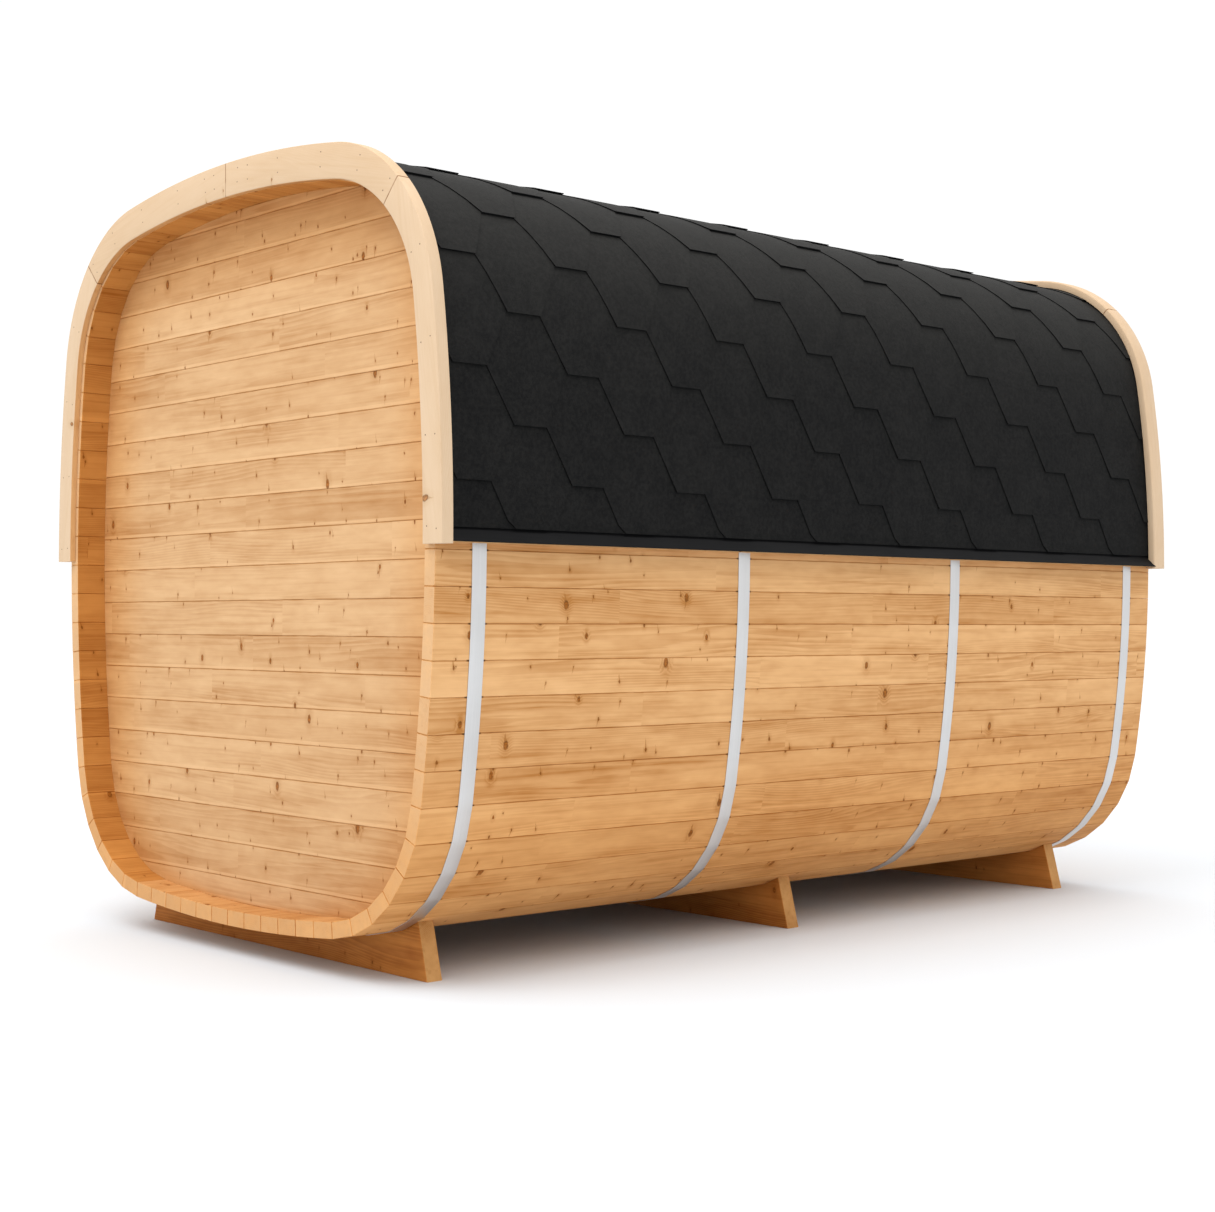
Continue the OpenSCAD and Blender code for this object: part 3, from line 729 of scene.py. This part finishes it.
def shingles(name, side):
    """Courses of hexagonal tabs. A course is a closed sheet between its zigzag lower edge and a straight
    upper edge two exposures on. It rises off the deck by one thickness for each exposure, counted down
    from its upper edge, so that each course lies on those below it. Its tabs curl up by 1 to 2 mm, less by a
    factor e for each CURL_REACH from their edge."""
    pile = Pile()
    crown = crown_distance(SHINGLE_IN) - 1 * MM
    cut = FOLD_H - EAVE_H + 2 * MM
    tall = 2 * EXPOSURE + FELT_TOP
    for row in range(-2, math.ceil((crown - ROW_START) / EXPOSURE)):
        foot = ROW_START + row * EXPOSURE
        centre = TAB_CENTRE + (0 if row % 2 else TAB_PITCH / 2)
        y = (centre + TAB_PITCH * TABS[:, None] + TAB_MARKS).ravel()
        y = np.unique(np.clip(y, -ROOF_END, ROOF_END))
        y = y[np.concatenate([[True], np.diff(y) > 0.2 * MM])]
        tab = np.round((y - centre) / TAB_PITCH).astype(int)
        aside = np.abs(y - centre - tab * TAB_PITCH)
        edge = foot + np.clip((aside - TAB_FLAT / 2) / TAB_SLOPE, 0, 1) * (EXPOSURE + 2 * MM)
        edge = np.minimum(np.maximum(edge, cut), crown - 4 * MM)
        top = min(foot + tall, crown)
        if top - edge.min() < 6 * MM:
            continue
        spread = edge[:, None] + (top - edge)[:, None] * COURSE_SHARES
        lip = np.clip(1 - (edge - foot) / (0.6 * EXPOSURE), 0, 1) ** 2
        curl = rng.uniform(1.0, 2.0, DICE)[tab % DICE] * lip * MM
        rise = SHINGLE_IN + FELT_T / EXPOSURE * (foot + tall - spread)
        rise = rise + curl[:, None] * np.exp(-(spread - edge[:, None]) / CURL_REACH)
        centre, radius, angle = upper_curve(spread, SHINGLE_IN)
        over, under = (stand(around(centre, radius + (rise + off), angle), y[:, None], side)
                       for off in (FELT_T, FELT_REST))
        sheet(pile, over, under, rng.uniform(-1, 1, DICE)[tab % DICE][:, None])
    pile.piece("courses_" + name, [felt, cut_edge], [name], smooth=25)


shingles("shingles_right", 1)
shingles("shingles_left", -1)


CAP_STEP, CAP_LENGTH, CAP_HALF, CAP_REST = 206 * MM, 330 * MM, 150 * MM, 3.3 * FELT_T


def ridge_caps():
    """Plain caps over the crown, bent to the roof. Each falls by one thickness for each step along the hull,
    so that its start lies on the cap before it."""
    pile = Pile()
    angle = math.pi / 2 - np.linspace(-CAP_HALF, CAP_HALF, 11) / (ROOF_R + SHINGLE_IN)
    for i in range(math.ceil(2 * ROOF_END / CAP_STEP)):
        start = -ROOF_END + i * CAP_STEP
        y = np.linspace(start, min(start + CAP_LENGTH, ROOF_END), 5)[:, None]
        base = SHINGLE_IN + CAP_REST + FELT_T / CAP_STEP * (CAP_LENGTH - (y - start))
        over, under = (stand(around(roof_c, ROOF_R + off, angle), y) for off in (base + FELT_T, base))
        sheet(pile, over, under, rng.uniform(-1, 1))
    pile.piece("ridge_caps", [felt, cut_edge], (), smooth=25)


ridge_caps()


# ---------- drip edges
SHEET_T, DECK_TOP = 1.2 * MM, 18.4 * MM


def drip_edge(name, side):
    """Folded sheet: a flange up the deck, a fold, and a lip that flares out and down. Its middle line, moved
    by half the thickness to both sides of its run, is carried along the roof."""
    lip_h, off = EAVE_H + 6 * MM, DECK_TOP + SHEET_T / 2
    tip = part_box(name)[1].x if side > 0 else -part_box(name)[0].x

    def at(h):
        """How far out the deck's face is at height h: half a chord of the side's circle."""
        return side_c[0] + math.sqrt((SIDE_R + off) ** 2 - (h - WAIST_H) ** 2)

    flange = [[at(FOLD_H + h), FOLD_H + h] for h in (70 * MM, 35 * MM, 6 * MM)]
    fold = [[at(FOLD_H) + 1.2 * MM, FOLD_H], [at(FOLD_H) + 3.5 * MM, FOLD_H - 4 * MM]]
    lip = [[tip - 3 * MM, lip_h + 5.5 * MM], [tip - SHEET_T, lip_h + 2.5 * MM],
           [tip - SHEET_T, lip_h + 0.6 * MM]]
    line = np.array(flange + fold + lip)
    run = unit(np.gradient(line, axis=0))
    square = np.stack([run[:, 1], -run[:, 0]], 1) * SHEET_T / 2
    ring = np.concatenate([line + square, (line - square)[::-1]])
    pile = Pile()
    pile.shell(stand(ring, np.linspace(-ROOF_END, ROOF_END, 8)[:, None], side))
    pile.piece("sheet_" + name, [black_sheet], [name], smooth=20)


drip_edge("drip_edge_right", 1)
drip_edge("drip_edge_left", -1)


# ---------- steel bands
BEND_REACH, BAND_OFF = 14 * MM, 0.15 * MM


def band(name):
    """A strap round the closed line of stave corners: at each corner the line turns through a short
    parabola, and a thin rounded rectangle is carried along it."""
    middle = span(name, "y")[0]
    corner = outline(FIT + BAND_T / 2 + BAND_OFF)
    before, after = unit(np.roll(corner, 1, 0) - corner), unit(np.roll(corner, -1, 0) - corner)
    t = np.linspace(0, 1, 5)[None, :, None]
    bend = ((1 - t) ** 2 * (corner + before * BEND_REACH)[:, None] + 2 * t * (1 - t) * corner[:, None]
            + t ** 2 * (corner + after * BEND_REACH)[:, None]).reshape(-1, 2)
    run = unit(np.roll(bend, -1, 0) - np.roll(bend, 1, 0))
    square = np.stack([run[:, 1], -run[:, 0]], 1)
    w, half_t = BAND_W / 2, BAND_T / 2
    strap = rounded([(-w, -half_t), (w, -half_t), (w, half_t), (-w, half_t)], 0.5 * MM, 2)
    flat = bend[:, None] + square[:, None] * strap[None, :, 1:]
    length = np.concatenate([[0], np.cumsum(np.linalg.norm(np.diff(bend, axis=0), axis=1))])
    pile = Pile()
    grain = place(strap[:, 0], length[:, None], strap[:, 1]) + [0, middle * 7, 0]
    pile.shell(stand(flat, middle + strap[:, 0]), grain, looped=True)
    pile.piece("strap_" + name, [band_steel], [name], smooth=40)


for node in ("band_rear", "band_mid_rear", "band_mid_front", "band_front"):
    band(node)


# ---------- arch trims
JOINT_MARK, JOINT_TONE = 2.4 * MM, 3.0


def arch_line(part, offs):
    """Points along one piece of the arch for an array of offsets from its curves. Over the roof the inner
    edge reaches further in, by a smooth step 3t^2 - 2t^3 of the turn t round the corner. The foot of a post
    is cut level, the joint is square to the corner, and a bow ends upright at the crown."""
    inward = TRIM_OVER * np.clip(-offs / TRIM_IN, 0, 1)
    high, roof = np.full_like(offs, a_high), np.full_like(offs, a_roof)
    gap = FIT / 2 / (UPPER_R + offs)
    if part == "post":
        spans = [(side_c, SIDE_R, np.arcsin((EAVE_H - WAIST_H) / (SIDE_R + offs)), high, 10),
                 (upper_c, UPPER_R, high, TRIM_JOINT - gap, 16)]
    else:
        spans = [(upper_c, UPPER_R, TRIM_JOINT + gap, roof, 16),
                 (roof_c, ROOF_R, roof, np.arccos(FIT / 2 / (ROOF_R + offs)), 10)]
    rows = []
    for k, (centre, radius, first, final, count) in enumerate(spans):
        mark = JOINT_MARK / (abs(final - first).mean() * radius)
        share = np.unique(np.concatenate([np.linspace(0, 1, count + 1), [mark, 1 - mark]]))[k:, None]
        angle = first + (final - first) * share
        turn = float(centre is roof_c)
        if centre is upper_c:
            turn = np.clip((angle - a_high) / (a_roof - a_high), 0, 1)
        rows.append(around(centre, radius + offs - inward * turn * turn * (3 - 2 * turn), angle))
    return np.concatenate(rows)


def arch_trim(end, hand, part):
    """One piece of trim: a rebated section, a flange over the stave ends with a rim outside them, rounded
    on its outer arrises and carried along the arch. Its fibres run straight from end to end."""
    side, out = (1 if hand == "right" else -1), (-1 if end == "rear" else 1)
    name = f"{end}_arch_{hand}_{part}"
    front = [(-TRIM_IN, FIT), (-TRIM_IN, TRIM_FRONT), (TRIM_OUT, TRIM_FRONT)]
    back = [(FIT, -TRIM_BACK), (FIT, FIT)]
    rim, eases = [(TRIM_OUT, -TRIM_BACK)], [2.0]
    if end == "front":
        rim, eases = [(TRIM_OUT, -FRONT_LIP), (LIP_H, -FRONT_LIP), (LIP_H, -TRIM_BACK)], [10.0, 1.0, 0.2]
    section = rounded(front + rim + back, np.array([1.0, 2.5, 2.5] + eases + [0.8, 0.2]) * MM)
    flat = arch_line(part, section[:, 0])
    rings = stand(flat, out * (HALF_L + section[:, 1]), side)
    chord = unit((flat[-1].mean(0) - flat[0].mean(0))[None])[0]
    grain = place(flat @ np.array([-chord[1], chord[0]]), flat @ chord, section[:, 1])
    grain = grain - [grain[..., 0].mean(), 0, 0] + log_offset()
    edge = np.zeros((len(rings), 1))
    edge[[-1] if part == "post" else [0, -1]] = JOINT_TONE
    inner_edge = np.where(np.arange(len(section)) < 5, 1, 0)
    tone = (2.0 if part == "bow" else -0.5) + rng.uniform(-0.4, 0.4)
    pile = Pile()
    pile.shell(rings, grain, inner_edge, tone=tone, arris=edge)
    pile.piece("trim_" + name, [trim_pine, sawn_trim], [name], smooth=30)


for end in ("rear", "front"):
    for hand in ("left", "right"):
        for part in ("post", "bow"):
            arch_trim(end, hand, part)


def turned(centre, size, reach, upright=False, sides=32):
    """Rings of a turned shape: circles of the sizes given round an axis through centre, each moved along it
    by its reach. The axis runs along Y, or along Z where it is upright."""
    circle = rays(np.linspace(0, 2 * np.pi, sides + 1)[:-1])
    one, two = np.moveaxis(size[:, None, None] * circle, -1, 0)
    along = np.broadcast_to(reach[:, None], one.shape)
    return place(one, two, along) + centre if upright else place(one, along, two) + centre


NAIL_R, NAIL_OFFS, NAIL_STRAY = 2.2 * MM, (-12 * MM, 32 * MM), 6


def trim_nails():
    """Nail heads in pairs across the trims: low domes that rise 0.55 mm off the face."""
    pile = Pile()
    spots = np.array([0.045, 0.3, 0.56, 0.82, 1.06, 1.22, 1.42, 1.66, 1.9, crown_distance(0.0) - 0.13])
    size = np.array([1.0, 0.97, 0.75, 0.4, 0.05]) * NAIL_R
    lift = np.array([-0.5, 0.15, 0.35, 0.5, 0.55]) * MM
    for out in (-1, 1):
        for side in (-1, 1):
            for off in NAIL_OFFS:
                stray = rng.uniform(-NAIL_STRAY, NAIL_STRAY, len(spots)) * MM
                centre, radius, angle = upper_curve(spots + stray, 0.0)
                for head in stand(around(centre, radius + off, angle), out * (HALF_L + TRIM_FRONT), side):
                    pile.shell(turned(head, size, out * lift, sides=8))
    pile.piece("trim_nails", [nail_steel], (), smooth=50)


trim_nails()


# ---------- cradles
CRADLE_LEAN, LEAN_REACH, CRADLE_EASE, END_INSET = math.radians(15), 120 * MM, 2.5 * MM, 1.5 * MM
LOWER_PART = 400 * MM  # the part of the section that a cradle can reach


def cradle(name):
    """A plank on edge under the hull: every ring is a rounded rectangle that stands from the ground to the
    underside of the hull, its foot spread wider than its top so that the ends lean."""
    (middle, half_t), half_x = span(name, "y"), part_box(name)[1].x
    chain = outline(FIT)
    lower = chain[chain[:, 1] < LOWER_PART]
    lower = lower[np.argsort(lower[:, 0])]

    def under(x):
        """Height of the underside of the hull."""
        return np.interp(x, lower[:, 0], lower[:, 1])

    reach = np.linspace(half_x - LEAN_REACH, half_x, 400)
    lean_h = (half_x - reach) / math.tan(CRADLE_LEAN) - GROUND_LIFT
    top_x = reach[np.argmin(np.abs(lean_h - under(reach)))]
    marks = np.concatenate([lower[np.abs(lower[:, 0]) < top_x - 0.004, 0], np.linspace(-top_x, top_x, 15)])
    share = np.unique(np.round(marks / top_x, 5))
    share = np.concatenate([[-1, -0.9985], share[np.abs(share) < 0.995], [0.9985, 1]])[:, None]
    turn = np.linspace(0, np.pi / 2, 4)
    y, z = half_t - (1 - np.sin(turn)) * CRADLE_EASE, (1 - np.cos(turn)) * CRADLE_EASE
    y, z = np.concatenate([y, y[::-1], -y, -y[::-1]]), np.concatenate([z, -z[::-1], -z, z[::-1]])
    top = under(share * top_x) + GROUND_LIFT
    z = z + np.repeat([0, 1, 1, 0], 4) * top
    shrink = np.where(np.abs(share) > 0.9999, 1 - END_INSET / half_t, 1.0)
    rings = place(share * (half_x + (top_x - half_x) * z / top), middle + y * shrink, z)
    grain = rings[..., [2, 0, 1]] - [0.06, 0, middle] + log_offset()
    pile = Pile()
    pile.shell(rings, grain, rim_skin=1, tone=rng.uniform(-0.5, 1))
    pile.piece("plank_" + name, [cradle_pine, cradle_end], [name], smooth=30)


for node in ("cradle_rear", "cradle_middle", "cradle_front"):
    cradle(node)


# ---------- door
FRAME_W, LEAF_COVER = 45 * MM, 98 * MM


def door_boards(name, node, uprights, back, face, levels=()):
    """Boards of the leaf or the frame: uprights, each given by its middle and half its width, and level ones
    of the same width between two uprights. back and face are the radii of their arrises."""
    low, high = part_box(node)
    pile = Pile()
    for x, half in uprights:
        corner = [(-half, low.y - high.y), (half, low.y - high.y), (half, 0), (-half, 0)]
        section = rounded(corner, [back, back, face, face])
        beam(pile, section, (x, high.y, low.z), (x, high.y, high.z), (1, 0, 0), (0, 1, 0))
    for z in levels:
        reach = high.x - 2 * half - FIT
        beam(pile, section, (-reach, high.y, z), (reach, high.y, z), (0, 0, 1), (0, 1, 0))
    pile.piece(name, [door_pine], [node])


leaf_low, leaf_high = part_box("door_leaf")
marks = np.array([leaf_low.x, *(np.arange(-3, 4) * LEAF_COVER), leaf_high.x])
uprights = zip((marks[:-1] + marks[1:]) / 2, np.diff(marks) / 2 - 0.1 * MM)
door_boards("boards_door_leaf", "door_leaf", uprights, 2 * MM, 3 * MM)
low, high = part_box("door_frame")
uprights = [(side * (high.x - FRAME_W / 2), FRAME_W / 2) for side in (-1, 1)]
levels = low.z + FRAME_W / 2, high.z - FRAME_W / 2
door_boards("members_door_frame", "door_frame", uprights, 2.5 * MM, 2.5 * MM, levels)


def door_handle():
    """A turned pull on two turned pegs."""
    low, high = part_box("door_handle")
    (x, radius), tall = span("door_handle", "x"), high.z - low.z
    axis_y = high.y - radius
    share = np.array([0.0, 0.004, 0.012, 0.03, 0.08, 0.2, 0.35])
    girth = np.array([0.55, 0.78, 0.9, 0.94, 0.93, 0.955, 0.985])
    share = np.concatenate([share, [0.5], 1 - share[::-1]])
    girth = np.concatenate([girth, [1.0], girth[::-1]])
    rings = turned((x, axis_y, low.z), radius * girth, tall * share, upright=True)
    pile = Pile()
    pile.shell(rings, rings[..., [0, 2, 1]] - [x, 0, axis_y] + [0.01, 7.0, 0.03])
    for s in (-1, 1):
        peg = (x, low.y, (low.z + high.z) / 2 + s * tall * 0.34)
        rings = turned(peg, radius * 0.6 * np.array([1.35, 1.35, 1.0, 1.0]),
                       np.array([0.0, 0.0015, 0.012, axis_y - low.y]))
        pile.shell(rings, rings + [3.0, 0, 0.03 - low.y])
    pile.piece("turned_door_handle", [pull_wood], ["door_handle"], smooth=40)


def door_hinges():
    """Three surface hinges: a barrel of five knuckles, a flap on both sides of it, three screws in each."""
    x, y, tall, barrel = span("door_hinges", "x")[0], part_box("door_hinges")[0].y, 90 * MM, 8 * MM
    cuts, girth = np.linspace(0, tall, 6), np.array([0.93, 1, 1, 0.93]) * barrel
    dome, lift = np.array([1.0, 0.95, 0.6, 0.1]) * 3.6 * MM, np.array([2.3, 2.9, 3.5, 3.7]) * MM
    pile = Pile()
    for share in (0.1, 0.5, 0.9):
        base = leaf_low.z + (leaf_high.z - leaf_low.z) * share - tall / 2
        for a, b in zip(cuts[:-1], cuts[1:]):
            reach = np.array([a + 0.2 * MM, a + 0.8 * MM, b - 0.8 * MM, b - 0.2 * MM])
            pile.shell(turned((x, y + barrel, base), girth, reach, upright=True))
        for s in (-1, 1):
            near, far = x + s * MM, x + s * 34 * MM
            flap = rounded([(near, base), (far, base), (far, base + tall), (near, base + tall)][::s],
                           np.array([0.5, 6, 6, 0.5]) * MM, 4)
            plate = flap.mean(0) + (flap - flap.mean(0)) * np.array([1, 1, 0.985])[:, None, None]
            pile.shell(place(plate[..., 0], y + np.array([[0], [2.1], [2.5]]) * MM, plate[..., 1]))
            for up in (0.18, 0.5, 0.82):
                pile.shell(turned((x + s * 22 * MM, y, base + tall * up), dome, lift))
    pile.piece("plates_door_hinges", [hinge_steel], ["door_hinges"], smooth=40)


door_handle()
door_hinges()

# ---------- nodes that keep their own shape
for node in ("roof_deck_left", "roof_deck_right"):
    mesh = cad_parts[node].data
    mesh.materials.clear()
    mesh.materials.append(deck_wood)

# ---------- floor, light and camera
FLOOR_REACH = 60.0
floor_mesh = bpy.data.meshes.new("studio_floor")
square = np.array([(-1, -1, 0), (1, -1, 0), (1, 1, 0), (-1, 1, 0)]) * FLOOR_REACH
floor_mesh.from_pydata(square.tolist(), [], [(0, 1, 2, 3)])
floor_mesh.materials.append(Finish("pale_paper").done((0.665, 0.695, 0.725), 0.9, 0.1))
linked("studio_floor", floor_mesh)

world = bpy.data.worlds.new("soft_room")
world.use_nodes = True
sky = Mix(world.node_tree)
background = sky.tree.nodes["Background"].inputs
background["Color"].default_value = (1, 1, 1, 1)
up = sky.parts(sky.spot("Generated"))[2]
sky.feed(background["Strength"], sky.ramp(up, 0.36, 0.95, 1.03, 2.10))
bpy.context.scene.world = world
bpy.context.scene.view_settings.view_transform = "Standard"

light = bpy.data.lights.new("key", "AREA")
light.energy, light.size = 255, 4.0
key = linked("key", light)
key.location = 1.2, -6.2, 8.3
key.rotation_euler = (Vector((0, -1.7, 1.2)) - key.location).to_track_quat("-Z", "Y").to_euler()

camera = bpy.data.cameras.new("view")
camera.lens, camera.sensor_width = 57.987, 36.0
camera.shift_x, camera.shift_y = -0.0334, -0.0134
camera.clip_end = 300
yaw, pitch, roll = 0.83354, 0.01737, 0.00160
eye = linked("view", camera)
eye.matrix_world = (Matrix.Translation((5.4294, -4.8651, 1.03625)) @ Matrix.Rotation(yaw, 4, "Z")
                    @ Matrix.Rotation(math.pi / 2 + pitch, 4, "X") @ Matrix.Rotation(roll, 4, "Z"))
bpy.context.scene.camera = eye
